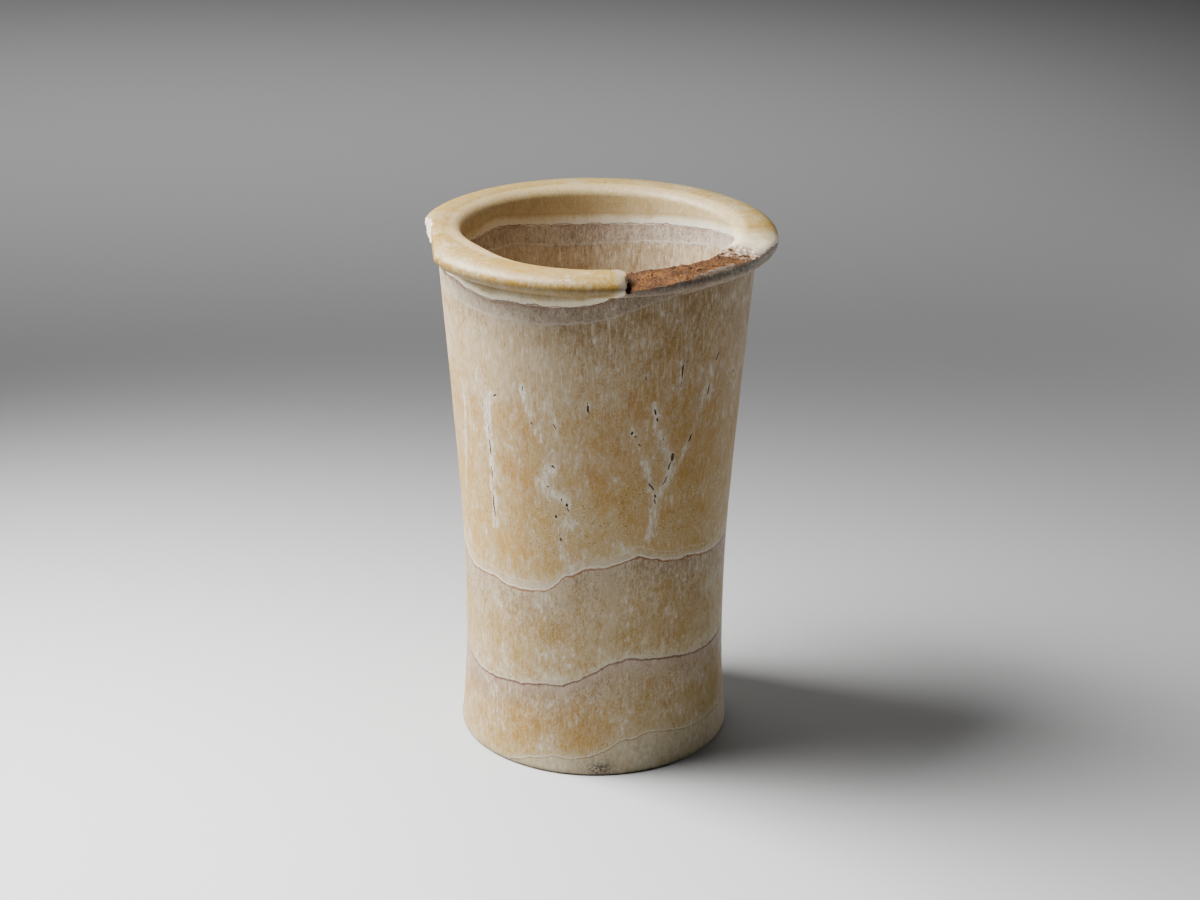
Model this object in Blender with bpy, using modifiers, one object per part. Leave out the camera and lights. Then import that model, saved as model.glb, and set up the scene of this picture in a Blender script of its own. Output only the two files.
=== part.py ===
"""Alabaster vase: one hollow vessel, carved and turned from a single block of banded stone.

The origin is the centre of the underside, +Z points up and -Y is the side with the broken rim on its right.
Lengths are in metres and angles in degrees.
"""
import math

import bmesh
import bpy
from mathutils import Vector, noise

# Outer wall: it spreads a little at the foot, is narrowest at the waist and flares up to the rim
HEIGHT = 0.360
FOOT_RADIUS = 0.0932
WAIST_RADIUS = 0.0892
WAIST_HEIGHT = 0.097
SHOULDER_RADIUS = 0.1051
FOOT_SPREAD_POWER = 3.25
FLARE_SOFTNESS = 0.30
FOOT_ROUNDING = 0.0025

# Hollow: the inner wall follows the outer one down to a rounded floor
WALL = 0.0146
FLOOR_THICKNESS = 0.024
FLOOR_ROUNDING = 0.016

# Rolled rim: a flattened roll that stands out past the wall
RIM_PROJECTION = 0.0141
RIM_THICKNESS = 0.0158

# The roll isn't quite even: on the front left it swells in over the mouth
SWELLING = 0.0078
SWELLING_ANGLE = 212.0
SWELLING_SPREAD = 24.0
SWELLING_REACH = 0.040

# Old break: the top of the roll is lost here, down to an uneven face along the stone's layer.
# Each row is an angle, the depth of the face at the mouth and its depth at the outside of the roll.
BREAK_FACE = (
    (-81.5, 0.0072, 0.0094),
    (-76.0, 0.0056, 0.0080),
    (-70.0, 0.0047, 0.0074),
    (-62.0, 0.0046, 0.0045),
    (-55.0, 0.0049, 0.0024),
    (-47.0, 0.0055, 0.0019),
    (-38.0, 0.0060, 0.0032),
    (-28.5, 0.0054, 0.0046),
)
BREAK_END_SLANT = 2.0
BREAK_ROUGHNESS = 0.0006

# Chip: a nearly flat flake lost from the outside of the roll, with a nub left standing on it
CHIP_ANGLE = 185.7
CHIP_DEPTH = 0.0107
CHIP_NUB_PLACE = -0.028
CHIP_NUB_HEIGHT = 0.0034
CHIP_NUB_WIDTH = 0.0075
CHIP_ROUGHNESS = 0.0007

# Fineness of the faceted solid
TURN_STEPS = 72
OUTER_ROWS = 15
INNER_ROWS = 9
ROLL_STEPS = 5
ROUNDING_STEPS = 4
BREAK_COLUMNS = 22
BREAK_ROWS = 6
CHIP_COLUMNS = 18
CHIP_ROWS = 5
CUTTER_MARGIN = 0.006
MERGE = 0.00001

STONE_COLOUR = (0.62, 0.47, 0.30, 1.0)
STONE_ROUGHNESS = 0.45

ROLL_HALF_HEIGHT = RIM_THICKNESS / 2
SHOULDER_HEIGHT = HEIGHT - RIM_THICKNESS
MOUTH_RADIUS = SHOULDER_RADIUS - WALL
RIM_RADIUS = SHOULDER_RADIUS + RIM_PROJECTION
ROLL_RADIUS = (RIM_RADIUS + MOUTH_RADIUS) / 2
ROLL_HALF_WIDTH = (RIM_RADIUS - MOUTH_RADIUS) / 2
ROLL_HEIGHT = HEIGHT - ROLL_HALF_HEIGHT


def wall_radius(height):
    """Radius of the outer wall, from the foot to the rim's underside."""
    if height < WAIST_HEIGHT:
        below = (WAIST_HEIGHT - height) / WAIST_HEIGHT
        return WAIST_RADIUS + (FOOT_RADIUS - WAIST_RADIUS) * below ** FOOT_SPREAD_POWER
    above = (height - WAIST_HEIGHT) / (SHOULDER_HEIGHT - WAIST_HEIGHT)
    flare = math.hypot(above, FLARE_SOFTNESS) - FLARE_SOFTNESS
    full_flare = math.hypot(1, FLARE_SOFTNESS) - FLARE_SOFTNESS
    return WAIST_RADIUS + (SHOULDER_RADIUS - WAIST_RADIUS) * flare / full_flare


def spaced(first, last, steps):
    """Evenly spaced values, both ends included."""
    return [first + (last - first) * i / steps for i in range(steps + 1)]


def arc(centre, half_width, half_height, first_angle, last_angle, steps):
    """Points of an upright ellipse arc, as (radius, height)."""
    turns = [math.radians(angle) for angle in spaced(first_angle, last_angle, steps)]
    return [(centre[0] + half_width * math.cos(t), centre[1] + half_height * math.sin(t)) for t in turns]


def hollow_profile():
    """From the middle of the floor, round its corner and up the inner wall."""
    corner_height = FLOOR_THICKNESS + FLOOR_ROUNDING
    corner_radius = wall_radius(corner_height) - WALL - FLOOR_ROUNDING
    corner = arc((corner_radius, corner_height), FLOOR_ROUNDING, FLOOR_ROUNDING, -90, 0, ROUNDING_STEPS)
    heights = spaced(corner_height, SHOULDER_HEIGHT, INNER_ROWS)[1:]
    return [(0.0, FLOOR_THICKNESS)] + corner + [(wall_radius(z) - WALL, z) for z in heights]


def roll_profile():
    """Over the rim, from the mouth to the outside and in again to the wall under it."""
    centre = (ROLL_RADIUS, ROLL_HEIGHT)
    meets_wall = -math.degrees(math.acos((SHOULDER_RADIUS - ROLL_RADIUS) / ROLL_HALF_WIDTH))
    mouth_side = arc(centre, ROLL_HALF_WIDTH, ROLL_HALF_HEIGHT, 180, 90, ROLL_STEPS)
    outside = arc(centre, ROLL_HALF_WIDTH, ROLL_HALF_HEIGHT, 90, meets_wall, 2 * ROLL_STEPS)
    return mouth_side + outside[1:]


def outer_profile():
    """Down the outer wall and round the foot's edge to the middle of the underside."""
    heights = spaced(SHOULDER_HEIGHT, FOOT_ROUNDING, OUTER_ROWS)
    foot_centre = (wall_radius(FOOT_ROUNDING) - FOOT_ROUNDING, FOOT_ROUNDING)
    edge = arc(foot_centre, FOOT_ROUNDING, FOOT_ROUNDING, 0, -90, ROUNDING_STEPS)[1:]
    return [(wall_radius(z), z) for z in heights] + edge + [(0.0, 0.0)]


def swelling(angle, radius, height):
    """How far a place on the mouth's side of the roll stands in over the mouth."""
    off = (angle - SWELLING_ANGLE + 180) % 360 - 180
    around_it = math.exp(-((off / SWELLING_SPREAD) ** 2))
    from_crown = min(max((ROLL_RADIUS - radius) / ROLL_HALF_WIDTH, 0.0), 1.0)
    above_end = min(max(1 - (ROLL_HEIGHT - height) / SWELLING_REACH, 0.0), 1.0)
    return SWELLING * around_it * from_crown * above_end * above_end


def turned(name, profile, collection):
    """Turn a profile of (radius, height) points about the Z axis, and swell the roll on one side."""
    outline = bpy.data.meshes.new("outline")
    points = [(radius, 0.0, height) for radius, height in profile]
    outline.from_pydata(points, [(i, i + 1) for i in range(len(points) - 1)], [])
    pattern = bpy.data.objects.new("outline", outline)
    collection.objects.link(pattern)
    screw = pattern.modifiers.new("turn", "SCREW")
    screw.axis = "Z"
    screw.steps = TURN_STEPS
    screw.render_steps = TURN_STEPS
    screw.use_merge_vertices = True
    screw.merge_threshold = MERGE
    screw.use_smooth_shade = True
    depsgraph = bpy.context.evaluated_depsgraph_get()
    mesh = bpy.data.meshes.new_from_object(pattern.evaluated_get(depsgraph))
    mesh.name = name
    bpy.data.objects.remove(pattern, do_unlink=True)
    for vertex in mesh.vertices:
        radius = vertex.co.xy.length
        if radius > 0:
            angle = math.degrees(math.atan2(vertex.co.y, vertex.co.x))
            vertex.co.xy *= 1 - swelling(angle, radius, vertex.co.z) / radius
    turned_object = bpy.data.objects.new(name, mesh)
    collection.objects.link(turned_object)
    return turned_object


def rough_block(name, columns, rows, face, back, collection):
    """A closed cutter with an uneven side, face(u, v), and an opposite one, back(u, v), for u and v of 0 to 1."""
    block = bmesh.new()
    bmesh.ops.create_grid(block, x_segments=columns, y_segments=rows, size=0.5)
    shares = {vertex: (vertex.co.x + 0.5, vertex.co.y + 0.5) for vertex in block.verts}
    front = list(block.verts)
    raised = bmesh.ops.extrude_face_region(block, geom=list(block.faces), use_keep_orig=True)
    behind = [item for item in raised["geom"] if isinstance(item, bmesh.types.BMVert)]
    for vertex in behind:
        vertex.co = back(vertex.co.x + 0.5, vertex.co.y + 0.5)
    for vertex in front:
        vertex.co = face(*shares[vertex])
    bmesh.ops.recalc_face_normals(block, faces=block.faces)
    if block.calc_volume(signed=True) < 0:
        bmesh.ops.reverse_faces(block, faces=block.faces)
    mesh = bpy.data.meshes.new(name)
    block.to_mesh(mesh)
    block.free()
    cutter = bpy.data.objects.new(name, mesh)
    cutter.hide_render = True
    cutter.display_type = "WIRE"
    collection.objects.link(cutter)
    return cutter


def roughness(place, size):
    """Small unevenness of a broken face at a place in the stone."""
    return size * (noise.noise(place * 160) + 0.5 * noise.noise(place * 420))


def break_depths(angle):
    """Depths of the break's face at the mouth and at the outside, smooth between the rows of BREAK_FACE."""
    after = next((i for i, row in enumerate(BREAK_FACE) if row[0] >= angle), len(BREAK_FACE) - 1)
    after = max(after, 1)
    first, last = BREAK_FACE[after - 1], BREAK_FACE[after]
    share = min(max((angle - first[0]) / (last[0] - first[0]), 0.0), 1.0)
    ease = share * share * (3 - 2 * share)
    return first[1] + (last[1] - first[1]) * ease, first[2] + (last[2] - first[2]) * ease


def around(angle, radius, height):
    """A place given by its angle about the axis, its distance from it and its height."""
    turn = math.radians(angle)
    return Vector((radius * math.cos(turn), radius * math.sin(turn), height))


def break_cutter(collection):
    """The lost top of the roll: a block bent round the rim, with the break's face below."""
    inner = MOUTH_RADIUS - CUTTER_MARGIN
    outer = RIM_RADIUS + CUTTER_MARGIN
    first, last = BREAK_FACE[0][0], BREAK_FACE[-1][0]

    def face(along, across):
        angle = first + (last - first) * along
        at_mouth, at_outside = break_depths(angle)
        radius = inner + (outer - inner) * across
        share = min(max((radius - MOUTH_RADIUS) / (RIM_RADIUS - MOUTH_RADIUS), 0.0), 1.0)
        place = around(angle, radius, HEIGHT - at_mouth - (at_outside - at_mouth) * share)
        place.z += roughness(place, BREAK_ROUGHNESS)
        return place

    def back(along, across):
        angle = first + BREAK_END_SLANT + (last - first) * along
        return around(angle, inner + (outer - inner) * across, HEIGHT + CUTTER_MARGIN)

    return rough_block("break_cutter", BREAK_COLUMNS, BREAK_ROWS, face, back, collection)


def chip_cutter(collection):
    """The lost flake: a slab across the outside of the roll, with a hollow where the nub stands."""
    distance = RIM_RADIUS - CHIP_DEPTH
    half_width = math.sqrt(RIM_RADIUS ** 2 - distance ** 2) + CUTTER_MARGIN
    bottom = SHOULDER_HEIGHT - CUTTER_MARGIN
    turn = math.radians(CHIP_ANGLE)
    out = Vector((math.cos(turn), math.sin(turn), 0))
    side = Vector((-math.sin(turn), math.cos(turn), 0))

    def place_at(along, up, outward):
        height = bottom + (HEIGHT + CUTTER_MARGIN - bottom) * up
        return side * (half_width * (2 * along - 1)) + out * outward + Vector((0, 0, height))

    def face(along, up):
        place = place_at(along, up, distance)
        from_nub = (half_width * (2 * along - 1) - CHIP_NUB_PLACE) / CHIP_NUB_WIDTH
        nub = CHIP_NUB_HEIGHT * math.exp(-from_nub * from_nub)
        return place + out * (nub + roughness(place, CHIP_ROUGHNESS))

    def back(along, up):
        return place_at(along, up, RIM_RADIUS + CUTTER_MARGIN)

    return rough_block("chip_cutter", CHIP_COLUMNS, CHIP_ROWS, face, back, collection)


def cut(body, cutter):
    """Take a cutter's shape out of the body."""
    boolean = body.modifiers.new(cutter.name, "BOOLEAN")
    boolean.operation = "DIFFERENCE"
    boolean.solver = "EXACT"
    boolean.object = cutter


def stone():
    """Honey-coloured banded stone, polished to a soft sheen."""
    material = bpy.data.materials.new("banded_stone")
    material.use_nodes = True
    shader = material.node_tree.nodes["Principled BSDF"]
    shader.inputs["Base Color"].default_value = STONE_COLOUR
    shader.inputs["Roughness"].default_value = STONE_ROUGHNESS
    shader.inputs["Metallic"].default_value = 0.0
    material.diffuse_color = STONE_COLOUR
    return material


def main():
    for old in list(bpy.data.objects):
        bpy.data.objects.remove(old, do_unlink=True)
    parts = bpy.data.collections.new("alabaster_vase")
    cutters = bpy.data.collections.new("cutters")
    for collection in (parts, cutters):
        bpy.context.scene.collection.children.link(collection)
    vase = turned("vase", hollow_profile() + roll_profile() + outer_profile()[1:], parts)
    vase.data.materials.append(stone())
    cut(vase, break_cutter(cutters))
    cut(vase, chip_cutter(cutters))


main()
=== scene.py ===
# %% [markdown]
# # A turned vase of banded stone
#
# The real vase was carved from one block of banded calcite, often called alabaster. The outside was ground
# and polished, and the inside was bored out. The stone grew in layers, so wavy lines run all round it.
# Part of the rolled rim broke away long ago, and a flake is lost from the rim's left side.
#
# This lesson keeps to that order: first the imported model and its measures, then the floor, light and camera,
# then the vase itself as one clean surface, then its breaks and pits, and last the stone's pattern, with the
# light and shade that are painted into it.

# %% Load the imported model
import math

import bpy
import numpy as np
from mathutils import Matrix, Vector, kdtree, noise


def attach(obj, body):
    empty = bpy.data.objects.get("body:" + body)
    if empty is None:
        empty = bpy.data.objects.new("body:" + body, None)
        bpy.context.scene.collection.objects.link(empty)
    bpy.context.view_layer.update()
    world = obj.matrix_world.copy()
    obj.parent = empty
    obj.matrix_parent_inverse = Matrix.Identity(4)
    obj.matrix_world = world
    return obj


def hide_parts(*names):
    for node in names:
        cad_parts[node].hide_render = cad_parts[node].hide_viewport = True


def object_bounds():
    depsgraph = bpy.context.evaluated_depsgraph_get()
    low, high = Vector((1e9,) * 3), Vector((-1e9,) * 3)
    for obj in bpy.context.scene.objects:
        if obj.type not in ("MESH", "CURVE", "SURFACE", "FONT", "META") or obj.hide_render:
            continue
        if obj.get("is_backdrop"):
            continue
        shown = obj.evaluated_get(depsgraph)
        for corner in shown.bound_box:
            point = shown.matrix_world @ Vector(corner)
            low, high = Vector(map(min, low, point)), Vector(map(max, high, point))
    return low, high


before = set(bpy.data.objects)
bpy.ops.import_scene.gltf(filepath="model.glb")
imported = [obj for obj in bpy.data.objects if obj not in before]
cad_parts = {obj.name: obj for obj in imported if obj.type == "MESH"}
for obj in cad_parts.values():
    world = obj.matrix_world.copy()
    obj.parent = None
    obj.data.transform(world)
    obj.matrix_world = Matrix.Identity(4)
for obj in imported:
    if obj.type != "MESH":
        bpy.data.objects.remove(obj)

CAD_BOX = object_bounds()
bpy.ops.object.select_all(action="DESELECT")
print("packed model, in mm:", [round(1000 * size, 1) for size in CAD_BOX[1] - CAD_BOX[0]])

# %% [markdown]
# ## The vase's measures
#
# These are the same measures that the solid was made from, in metres. Angles are in degrees to the right of
# the front: 0 is the front, 90 the right side, -90 the left. They are written once here, so every later step
# can ask where the wall is instead of guessing.

# %% Measures of the wall, the hollow and the rim
HEIGHT = 0.360
FOOT_RADIUS = 0.0932
WAIST_RADIUS = 0.0892
WAIST_HEIGHT = 0.097
SHOULDER_RADIUS = 0.1051
FOOT_SPREAD_POWER = 3.25
FLARE_SOFTNESS = 0.30
FOOT_ROUNDING = 0.0025
WALL = 0.0146
FLOOR_THICKNESS = 0.024
FLOOR_ROUNDING = 0.016
RIM_PROJECTION = 0.0141
RIM_THICKNESS = 0.0158
SHOULDER_HEIGHT = HEIGHT - RIM_THICKNESS
MOUTH_RADIUS = SHOULDER_RADIUS - WALL
RIM_RADIUS = SHOULDER_RADIUS + RIM_PROJECTION
ROLL_RADIUS = (RIM_RADIUS + MOUTH_RADIUS) / 2
ROLL_HALF_WIDTH = (RIM_RADIUS - MOUTH_RADIUS) / 2
ROLL_HALF_HEIGHT = RIM_THICKNESS / 2
ROLL_HEIGHT = HEIGHT - ROLL_HALF_HEIGHT


def wall_radius(height):
    """Radius of the outer wall, from the foot to the rim's underside."""
    if height < WAIST_HEIGHT:
        below = (WAIST_HEIGHT - height) / WAIST_HEIGHT
        return WAIST_RADIUS + (FOOT_RADIUS - WAIST_RADIUS) * below ** FOOT_SPREAD_POWER
    above = (height - WAIST_HEIGHT) / (SHOULDER_HEIGHT - WAIST_HEIGHT)
    flare = math.hypot(above, FLARE_SOFTNESS) - FLARE_SOFTNESS
    full_flare = math.hypot(1, FLARE_SOFTNESS) - FLARE_SOFTNESS
    return WAIST_RADIUS + (SHOULDER_RADIUS - WAIST_RADIUS) * flare / full_flare


def around(angle, radius, height):
    """A place given by its angle from the front, its distance from the axis and its height."""
    turn = math.radians(angle)
    return Vector((radius * math.sin(turn), -radius * math.cos(turn), height))


def angle_of(x, y):
    """Angle from the front, in degrees, for one place or for many."""
    return np.degrees(np.arctan2(x, -y))


print("wall at the waist, in mm:", round(2000 * wall_radius(WAIST_HEIGHT), 1))

# %% [markdown]
# ## Floor, light and camera
#
# The vase stands on a wide sheet of grey paper. A soft lamp high up on the left does nearly all the lighting:
# it makes the left side bright, lets the right side fall into brown shade and throws a soft shadow to the
# right. A low lamp on the right lifts that shade a little, and one over the far paper lights the background.

# %% Floor
FLOOR_SIZE = 14.0
PAPER_GREY = 0.36
PAPER_ROUGHNESS = 0.9


def plain_finish(name, colour, roughness):
    """A finish with one colour, for things that aren't part of the vase."""
    finish = bpy.data.materials.new(name)
    finish.use_nodes = True
    shader = finish.node_tree.nodes["Principled BSDF"]
    shader.inputs["Base Color"].default_value = (*colour, 1)
    shader.inputs["Roughness"].default_value = roughness
    return finish


bpy.ops.mesh.primitive_plane_add(size=FLOOR_SIZE)
floor = bpy.context.object
floor.name = "studio_floor"
floor.data.materials.append(plain_finish("pale_paper", [PAPER_GREY] * 3, PAPER_ROUGHNESS))
floor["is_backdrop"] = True
bpy.ops.object.select_all(action="DESELECT")
print("floor:", floor.name)

# %% Lamps
LOOK_AT = Vector((0, 0, 0.18))
WINDOW_AIM = Vector((-0.12, -0.44, 0.10))
SKY_STRENGTH = 0.008


def beside(angle, elevation, distance):
    """A place seen from the vase's middle at an angle round it and a height above it."""
    rise = math.radians(elevation)
    return LOOK_AT + around(angle, distance * math.cos(rise), distance * math.sin(rise))


def soft_lamp(name, place, aim, width, height, power, spread):
    """A soft rectangular lamp that stands at a place and is turned to what it aims at."""
    lamp = bpy.data.lights.new(name, "AREA")
    lamp.shape = "RECTANGLE"
    lamp.size = width
    lamp.size_y = height
    lamp.energy = power
    lamp.spread = math.radians(spread)
    holder = bpy.data.objects.new(name, lamp)
    bpy.context.collection.objects.link(holder)
    holder.location = place
    holder.rotation_euler = (aim - place).to_track_quat("-Z", "Y").to_euler()


# Name, place, what it aims at, width and height in metres, power in watts, and spread in degrees.
LAMPS = (
    ("window_lamp", beside(-92, 50, 1.05), WINDOW_AIM, 0.5, 1.0, 41, 102),
    ("right_fill", beside(117, 4, 1.6), LOOK_AT, 0.8, 0.5, 7.2, 180),
    ("backdrop_lamp", Vector((-0.6, 1.6, 1.3)), Vector((-0.6, 1.5, 0)), 2.6, 0.8, 20, 150),
)
for lamp in LAMPS:
    soft_lamp(*lamp)
world = bpy.context.scene.world or bpy.data.worlds.new("studio")
bpy.context.scene.world = world
world.use_nodes = True
sky = world.node_tree.nodes["Background"]
sky.inputs["Color"].default_value = (1.0, 1.0, 1.0, 1)
sky.inputs["Strength"].default_value = SKY_STRENGTH
print("lamps:", [item.name for item in bpy.data.lights])

# %% Camera
CAMERA_PLACE = (0.003025, -1.573771, 0.833183)
CAMERA_DOWN = 21.9276
CAMERA_ROLL = 0.45996
CAMERA_LENS = 75.0
CAMERA_SENSOR = 36

camera = bpy.data.cameras.new("photo_camera")
camera.sensor_width = CAMERA_SENSOR
camera.lens = CAMERA_LENS
viewer = bpy.data.objects.new("photo_camera", camera)
bpy.context.collection.objects.link(viewer)
tilt = Matrix.Rotation(math.radians(90 - CAMERA_DOWN), 4, "X")
roll = Matrix.Rotation(math.radians(CAMERA_ROLL), 4, "Z")
viewer.matrix_world = Matrix.Translation(CAMERA_PLACE) @ tilt @ roll
bpy.context.scene.camera = viewer
print("camera stands", round(Vector(CAMERA_PLACE).length, 2), "m from the vase")

# %% [markdown]
# ## The turned surface
#
# The vase could be a scaled cylinder with a ring on top, but then the wall, the roll and the hollow would be
# three shapes that only touch. The maker worked one block, so one outline is drawn here from the middle of
# the inside floor, up the inner wall, over the roll, down the outer wall and back to the axis underneath.
# Spinning that outline gives one closed skin with a true wall thickness.

# %% Draw the outline
INNER_ROWS = 76
OUTER_ROWS = 136
FLOOR_ROWS = 7
ROLL_ROWS = 26
CORNER_ROWS = 8
FOOT_ROWS = 5
TURN_STEPS = 300
MERGE_DISTANCE = 0.00002


def spaced(first, last, steps):
    """Evenly spaced values, both ends included."""
    return [first + (last - first) * i / steps for i in range(steps + 1)]


def arc(centre, half_width, half_height, first_angle, last_angle, steps):
    """Points of an upright ellipse arc, as (radius, height)."""
    turns = [math.radians(angle) for angle in spaced(first_angle, last_angle, steps)]
    return [(centre[0] + half_width * math.cos(t), centre[1] + half_height * math.sin(t)) for t in turns]


def vase_outline():
    """The whole outline as (radius, height) points."""
    corner_height = FLOOR_THICKNESS + FLOOR_ROUNDING
    corner_radius = wall_radius(corner_height) - WALL - FLOOR_ROUNDING
    inside_floor = [(radius, FLOOR_THICKNESS) for radius in spaced(0, corner_radius, FLOOR_ROWS)]
    corner = arc((corner_radius, corner_height), FLOOR_ROUNDING, FLOOR_ROUNDING, -90, 0, CORNER_ROWS)[1:]
    inner = [(wall_radius(z) - WALL, z) for z in spaced(corner_height, SHOULDER_HEIGHT, INNER_ROWS)[1:]]
    centre = (ROLL_RADIUS, ROLL_HEIGHT)
    meets_wall = -math.degrees(math.acos((SHOULDER_RADIUS - ROLL_RADIUS) / ROLL_HALF_WIDTH))
    mouth_side = arc(centre, ROLL_HALF_WIDTH, ROLL_HALF_HEIGHT, 180, 90, ROLL_ROWS // 3)
    outside = arc(centre, ROLL_HALF_WIDTH, ROLL_HALF_HEIGHT, 90, meets_wall, 2 * ROLL_ROWS // 3)[1:]
    outer = [(wall_radius(z), z) for z in spaced(SHOULDER_HEIGHT, FOOT_ROUNDING, OUTER_ROWS)[1:]]
    foot_centre = (wall_radius(FOOT_ROUNDING) - FOOT_ROUNDING, FOOT_ROUNDING)
    foot = arc(foot_centre, FOOT_ROUNDING, FOOT_ROUNDING, 0, -90, FOOT_ROWS)[1:]
    underside = [(radius, 0) for radius in spaced(foot_centre[0], 0, FLOOR_ROWS)[1:]]
    return inside_floor + corner + inner + mouth_side + outside + outer + foot + underside


def draw_outline(name, points):
    """Draws a chain of edges by extruding a single point again and again."""
    bpy.ops.mesh.primitive_plane_add(size=0.01)
    drawn = bpy.context.object
    drawn.name = name
    bpy.ops.object.mode_set(mode="EDIT")
    bpy.ops.mesh.select_all(action="SELECT")
    bpy.ops.mesh.merge(type="CENTER")
    bpy.ops.transform.translate(value=(points[0][0], 0, points[0][1]))
    for before, after in zip(points, points[1:]):
        step = (after[0] - before[0], 0, after[1] - before[1])
        bpy.ops.mesh.extrude_region_move(TRANSFORM_OT_translate={"value": step})
    return drawn


vase = draw_outline("alabaster_vase", vase_outline())
print("outline points:", len(vase_outline()))

# %% Spin it into a vessel
bpy.ops.mesh.select_all(action="SELECT")
bpy.ops.mesh.spin(steps=TURN_STEPS, angle=2 * math.pi, center=(0, 0, 0), axis=(0, 0, 1))
bpy.ops.mesh.select_all(action="SELECT")
bpy.ops.mesh.remove_doubles(threshold=MERGE_DISTANCE)
bpy.ops.mesh.normals_make_consistent(inside=False)
bpy.ops.object.mode_set(mode="OBJECT")
print("turned faces:", len(vase.data.polygons))

# %% [markdown]
# ## Made by hand
#
# The roll isn't even: on the front left it swells in over the mouth. The ground wall is also uneven by a few
# tenths of a millimetre, which makes the light run along it in soft patches. Inside, boring tools left faint
# rings in the lower part. All of it is sculpted by moving points.

# %% Places of a mesh's points
SWELLING = 0.0078
SWELLING_ANGLE = -58.0
SWELLING_SPREAD = 24.0
SWELLING_REACH = 0.040
WEAR_DEPTH = 0.00022
WEAR_WIDTH = 0.045
FINE_WEAR_DEPTH = 0.00010
FINE_WEAR_WIDTH = 0.014
RING_DEPTH = 0.00022
RING_SPACING = 0.0072
RINGS_TOP = 0.25
RINGS_FADE = 0.08
SKIN_ALLOWANCE = 0.00025
ON_AXIS = 0.001
FLAT_UNDERSIDE = 0.08


def places_of(piece):
    """The places of all points of a piece, one row each."""
    flat = np.empty(len(piece.data.vertices) * 3)
    piece.data.vertices.foreach_get("co", flat)
    return flat.reshape(-1, 3)


def set_places(piece, places):
    """Moves all points of a piece."""
    piece.data.vertices.foreach_set("co", places.ravel())
    piece.data.update()


def off_angle(angle, middle):
    """How far an angle is from a middle one, between -180 and 180."""
    return (angle - middle + 180) % 360 - 180


def bell(distance, width):
    """1 at no distance, falling away smoothly over a width."""
    return np.exp(-((distance / width) ** 2))


def swelling(angle, radius, height):
    """How far a place on the mouth's side of the roll stands in over the mouth."""
    around_it = bell(off_angle(angle, SWELLING_ANGLE), SWELLING_SPREAD)
    from_crown = np.clip((ROLL_RADIUS - radius) / ROLL_HALF_WIDTH, 0, 1)
    above_end = np.clip(1 - (ROLL_HEIGHT - height) / SWELLING_REACH, 0, 1)
    return SWELLING * around_it * from_crown * above_end ** 2


def rough(place, cell, seed=0.0):
    """A smooth random height for a place, between about -1 and 1, with bumps as wide as cell."""
    return noise.noise(Vector(place) / cell + Vector((seed, seed, seed)))


places = places_of(vase)
radii = np.hypot(places[:, 0], places[:, 1])
angles = angle_of(places[:, 0], places[:, 1])
inward = swelling(angles, radii, places[:, 2])
for i, place in enumerate(places):
    if radii[i] < ON_AXIS:
        continue
    inside = place[2] > FLOOR_THICKNESS and radii[i] < wall_radius(place[2]) - WALL / 2
    worn = WEAR_DEPTH * rough(place, WEAR_WIDTH) + FINE_WEAR_DEPTH * rough(place, FINE_WEAR_WIDTH, 5.0)
    if inside and place[2] < RINGS_TOP:
        fade = min(1, (RINGS_TOP - place[2]) / RINGS_FADE)
        ring_turn = 2 * math.pi * place[2] / RING_SPACING + 0.6 * rough(place, 0.05, 9.0)
        worn += RING_DEPTH * fade * math.sin(ring_turn)
    if place[2] > 0.001 or radii[i] < FLAT_UNDERSIDE:
        shrink = 1 - (inward[i] + SKIN_ALLOWANCE - worn) / radii[i]
        places[i, :2] *= shrink
set_places(vase, places)
print("swelling, in mm:", round(1000 * inward.max(), 1))

# %% [markdown]
# ## Cutters for what is lost
#
# A break is easiest to model as what it was: material that went away. Each cutter is a fine grid laid along
# the broken face, then extruded into a block over the lost stone. A Boolean takes it out of the vase, and the
# faces it leaves keep the cutter's own finish, so breaks look different from the polished skin.

# %% A block with one broken side
BREAK_FINISH = bpy.data.materials.new("broken_layer")
CHIP_FINISH = bpy.data.materials.new("crumbled_edge")
PIT_FINISH = bpy.data.materials.new("dark_pit")
STONE_FINISH = bpy.data.materials.new("banded_stone")
vase.data.materials.append(STONE_FINISH)


def turn_faces_out():
    """Turns all faces of the active piece to point outwards."""
    bpy.ops.object.mode_set(mode="EDIT")
    bpy.ops.mesh.select_all(action="SELECT")
    bpy.ops.mesh.normals_make_consistent(inside=False)
    bpy.ops.object.mode_set(mode="OBJECT")


def broken_block(name, columns, rows, face, back, finish):
    """A closed block with face(u, v) on its broken side and back(u, v) on the other, for u, v of 0 to 1."""
    bpy.ops.mesh.primitive_grid_add(x_subdivisions=columns, y_subdivisions=rows, size=1)
    block = bpy.context.object
    block.name = name
    bpy.ops.object.mode_set(mode="EDIT")
    bpy.ops.mesh.select_all(action="SELECT")
    bpy.ops.mesh.extrude_region_move(TRANSFORM_OT_translate={"value": (0, 0, 1)})
    bpy.ops.object.mode_set(mode="OBJECT")
    flat = places_of(block)
    shares = flat[:, :2] + 0.5
    for i, (along, across) in enumerate(shares):
        flat[i] = back(along, across) if flat[i, 2] > 0.5 else face(along, across)
    set_places(block, flat)
    turn_faces_out()
    if signed_volume(block) < 0:
        bpy.ops.object.mode_set(mode="EDIT")
        bpy.ops.mesh.flip_normals()
        bpy.ops.object.mode_set(mode="OBJECT")
    block.data.materials.append(finish)
    return block


def signed_volume(piece):
    """Volume inside a piece's faces; it comes out negative where they point inwards."""
    piece.data.calc_loop_triangles()
    points = places_of(piece)
    corners = np.array([triangle.vertices[:] for triangle in piece.data.loop_triangles])
    a, b, c = points[corners[:, 0]], points[corners[:, 1]], points[corners[:, 2]]
    return float(np.einsum("ij,ij->i", a, np.cross(b, c)).sum() / 6)


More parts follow.
